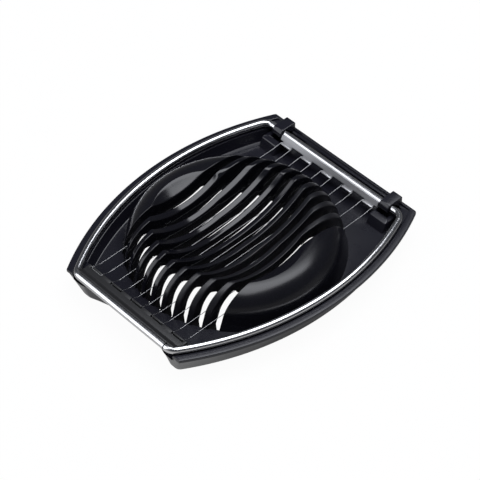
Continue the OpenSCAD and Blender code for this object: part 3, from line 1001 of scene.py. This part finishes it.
class EGGSLICER_OT_cup(bpy.types.Operator):
    """Moulds the egg cup: nine ribs with wire slots between them, and two solid ends."""

    bl_idname = "egg_slicer.cup"
    bl_label = "Egg cup"

    def execute(self, context):
        look, sizes = context.scene.egg_slicer_finish, context.scene.egg_slicer_sizes
        black = moulded_black("Rib black", look.plastic, roughness=0.12, worn=(0.0, 0.012, 0.4))
        # A painted shade on the right cup end's reflection: its shine falls to a quarter inside 28.8 mm.
        painted_dim_crown = (0.0288, 0.0310)
        worn = (0.0, 0.02, 0.22)
        ends = moulded_black("Cup end black", look.plastic, roughness=0.18, worn=worn, painted_dim_crown=painted_dim_crown)
        ribs = [rib(k * PITCH, in_mm(sizes.rib_edge)) for k in range(-4, 5)]
        add_piece("ribs", ribs, black, "base")
        for side, word in ((-1, "left"), (1, "right")):
            add_piece(f"cup_end_{word}", [cup_end(side)], ends, "base")
        return {"FINISHED"}


class EGGSLICER_OT_rod(bpy.types.Operator):
    """Bends the wire frame's rod."""

    bl_idname = "egg_slicer.rod"
    bl_label = "Rod"

    def execute(self, context):
        look = context.scene.egg_slicer_finish
        steel = polished_steel("Polished rod", look.steel, roughness=0.17, seam=0.0208)
        add_piece("rod", [tube(rod_path(), ROD_R, 48)], steel, "wire_frame", node="frame_rod")
        return {"FINISHED"}


class EGGSLICER_OT_rail(bpy.types.Operator):
    """Folds the rail round the rod's front bar."""

    bl_idname = "egg_slicer.rail"
    bl_label = "Front rail"

    def execute(self, context):
        look = context.scene.egg_slicer_finish
        black = moulded_black("Rail black", look.rail, roughness=0.42)
        add_piece("rail", front_rail(), black, "wire_frame", sharp=30, node="front_wire_rail")
        return {"FINISHED"}


class EGGSLICER_OT_strip(bpy.types.Operator):
    """Curls the sheet strip round the rod at the hinge."""

    bl_idname = "egg_slicer.strip"
    bl_label = "Rear strip"

    def execute(self, context):
        look = context.scene.egg_slicer_finish
        sheet = drawn_steel("Sheet steel", look.sheet, roughness=0.5, grain_axis=0)
        strip = rear_strip()
        add_piece("rear_strip", strip, sheet, "wire_frame", sharp=35, node="rear_wire_strip")
        return {"FINISHED"}


class EGGSLICER_OT_wires(bpy.types.Operator):
    """Strings the five loops of wire between the rail and the strip."""

    bl_idname = "egg_slicer.wires"
    bl_label = "Wires"

    def execute(self, context):
        look, sizes = context.scene.egg_slicer_finish, context.scene.egg_slicer_sizes
        colour = [0.62 * channel for channel in look.steel]
        wire = drawn_steel("Drawn wire", colour, roughness=0.3, grain_axis=1)
        for k in range(1, 6):
            loop = wire_loop(2 * k - 1, in_mm(sizes.wire_diameter) / 2)
            add_piece(f"loop_{k}", [loop], wire, "wire_frame", node=f"wire_loop_{k}")
        return {"FINISHED"}


class EGGSLICER_OT_studio(bpy.types.Operator):
    """Sets up the floor, the lamps, the world and the camera."""

    bl_idname = "egg_slicer.studio"
    bl_label = "Studio"

    def execute(self, context):
        scene, studio = context.scene, context.scene.egg_slicer_studio
        place_camera(scene, studio)
        light_world(scene, studio.fill)
        lay_floor(scene)
        softbox(scene, "Overhead softbox", (0.06, 0.18, 0.8), (0.06, 0.18, 0), (0.72, 0.84), studio.overhead)
        softbox(scene, "Front panel", (-0.52, -0.72, 0.5), (0, 0, 0), (0.8, 1.25), studio.panel)
        return {"FINISHED"}


def place_camera(scene, studio):
    """A camera that looks at its aim from the given angles: back points from the aim toward the camera."""
    turn, rise = studio.azimuth, studio.elevation
    back = Vector((math.sin(turn) * math.cos(rise), -math.cos(turn) * math.cos(rise), math.sin(rise)))
    data = bpy.data.cameras.new("Camera")
    data.lens, data.sensor_width = studio.lens, 36
    data.clip_start, data.clip_end = 0.05, 10
    camera = bpy.data.objects.new("Camera", data)
    camera.location = Vector(studio.aim) + back * studio.distance
    camera.rotation_mode = "QUATERNION"
    camera.rotation_quaternion = (-back).to_track_quat("-Z", "Y")
    scene.collection.objects.link(camera)
    scene.camera = camera
    scene.view_settings.view_transform = "Standard"


def light_world(scene, strength):
    """A plain dim world, a soft and slightly cool fill from all round."""
    world = bpy.data.worlds.new("Studio")
    world.use_nodes = True
    fill = world.node_tree.nodes["Background"]
    fill.inputs["Color"].default_value = (0.85, 0.9, 1.0, 1)
    fill.inputs["Strength"].default_value = strength
    scene.world = world


def lay_floor(scene):
    """A white floor that curves up into a low wall all round, in metres and just under the part's feet.

    A profile of radius and height is turned round the vertical axis: flat to 2.2, then a quarter circle."""
    sides, flat, bend, sunk = 64, 2.2, 0.8, 0.0002
    rise = np.linspace(0, math.pi / 2, 9)
    radius = np.concatenate([[0.02, 0.5, 1.2], flat + bend * np.sin(rise)])
    height = np.concatenate([np.zeros(3), bend - bend * np.cos(rise)]) - sunk
    turn = np.linspace(0, 2 * math.pi, sides, endpoint=False)
    rings = [at_height(arc(0, 0, r, turn), z) for r, z in zip(radius, height)]
    upward = grid_faces(len(rings), sides, closed_columns=True)[:, ::-1]
    mesh = bpy.data.meshes.new("Floor")
    mesh.from_pydata(np.concatenate(rings).tolist(), [], [list(range(sides)), *upward.tolist()])
    mesh.materials.append(white_floor("White floor"))
    floor = bpy.data.objects.new("Floor", mesh)
    scene.collection.objects.link(floor)


def softbox(scene, name, spot, target, size, power):
    """A rectangular lamp at a spot, facing its target."""
    data = bpy.data.lights.new(name, "AREA")
    data.color = (0.93, 0.95, 1.0)
    data.shape, data.energy = "RECTANGLE", power
    data.size, data.size_y = size
    lamp = bpy.data.objects.new(name, data)
    lamp.location = spot
    lamp.rotation_mode = "QUATERNION"
    lamp.rotation_quaternion = (Vector(target) - Vector(spot)).to_track_quat("-Z", "Y")
    scene.collection.objects.link(lamp)


class EGGSLICER_PT_panel(bpy.types.Panel):
    """Lists the steps that build the egg slicer, and their settings."""

    bl_label = "Egg slicer"
    bl_space_type = "VIEW_3D"
    bl_region_type = "UI"
    bl_category = "Egg slicer"

    def draw(self, context):
        for step in STEPS:
            self.layout.operator(step.bl_idname)
        for key in GROUPS:
            group = getattr(context.scene, key)
            column = self.layout.column()
            for setting in group.__annotations__:
                column.prop(group, setting)


STEPS = (
    EGGSLICER_OT_tray,
    EGGSLICER_OT_cup,
    EGGSLICER_OT_rod,
    EGGSLICER_OT_rail,
    EGGSLICER_OT_strip,
    EGGSLICER_OT_wires,
    EGGSLICER_OT_studio,
)
GROUPS = {
    "egg_slicer_sizes": EggSlicerSizes,
    "egg_slicer_finish": EggSlicerFinish,
    "egg_slicer_studio": EggSlicerStudio,
}
CLASSES = (*GROUPS.values(), *STEPS, EGGSLICER_PT_panel)


def register():
    """Registers the classes and gives the scene its groups of settings."""
    for cls in CLASSES:
        bpy.utils.register_class(cls)
    for key, group in GROUPS.items():
        setattr(bpy.types.Scene, key, bpy.props.PointerProperty(type=group))


def unregister():
    """Takes the groups and the classes away again."""
    for key in GROUPS:
        delattr(bpy.types.Scene, key)
    for cls in reversed(CLASSES):
        bpy.utils.unregister_class(cls)


def main():
    """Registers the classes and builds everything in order."""
    register()
    bpy.ops.egg_slicer.tray()
    bpy.ops.egg_slicer.cup()
    bpy.ops.egg_slicer.rod()
    bpy.ops.egg_slicer.rail()
    bpy.ops.egg_slicer.strip()
    bpy.ops.egg_slicer.wires()
    bpy.ops.egg_slicer.studio()


if __name__ == "__main__":
    main()
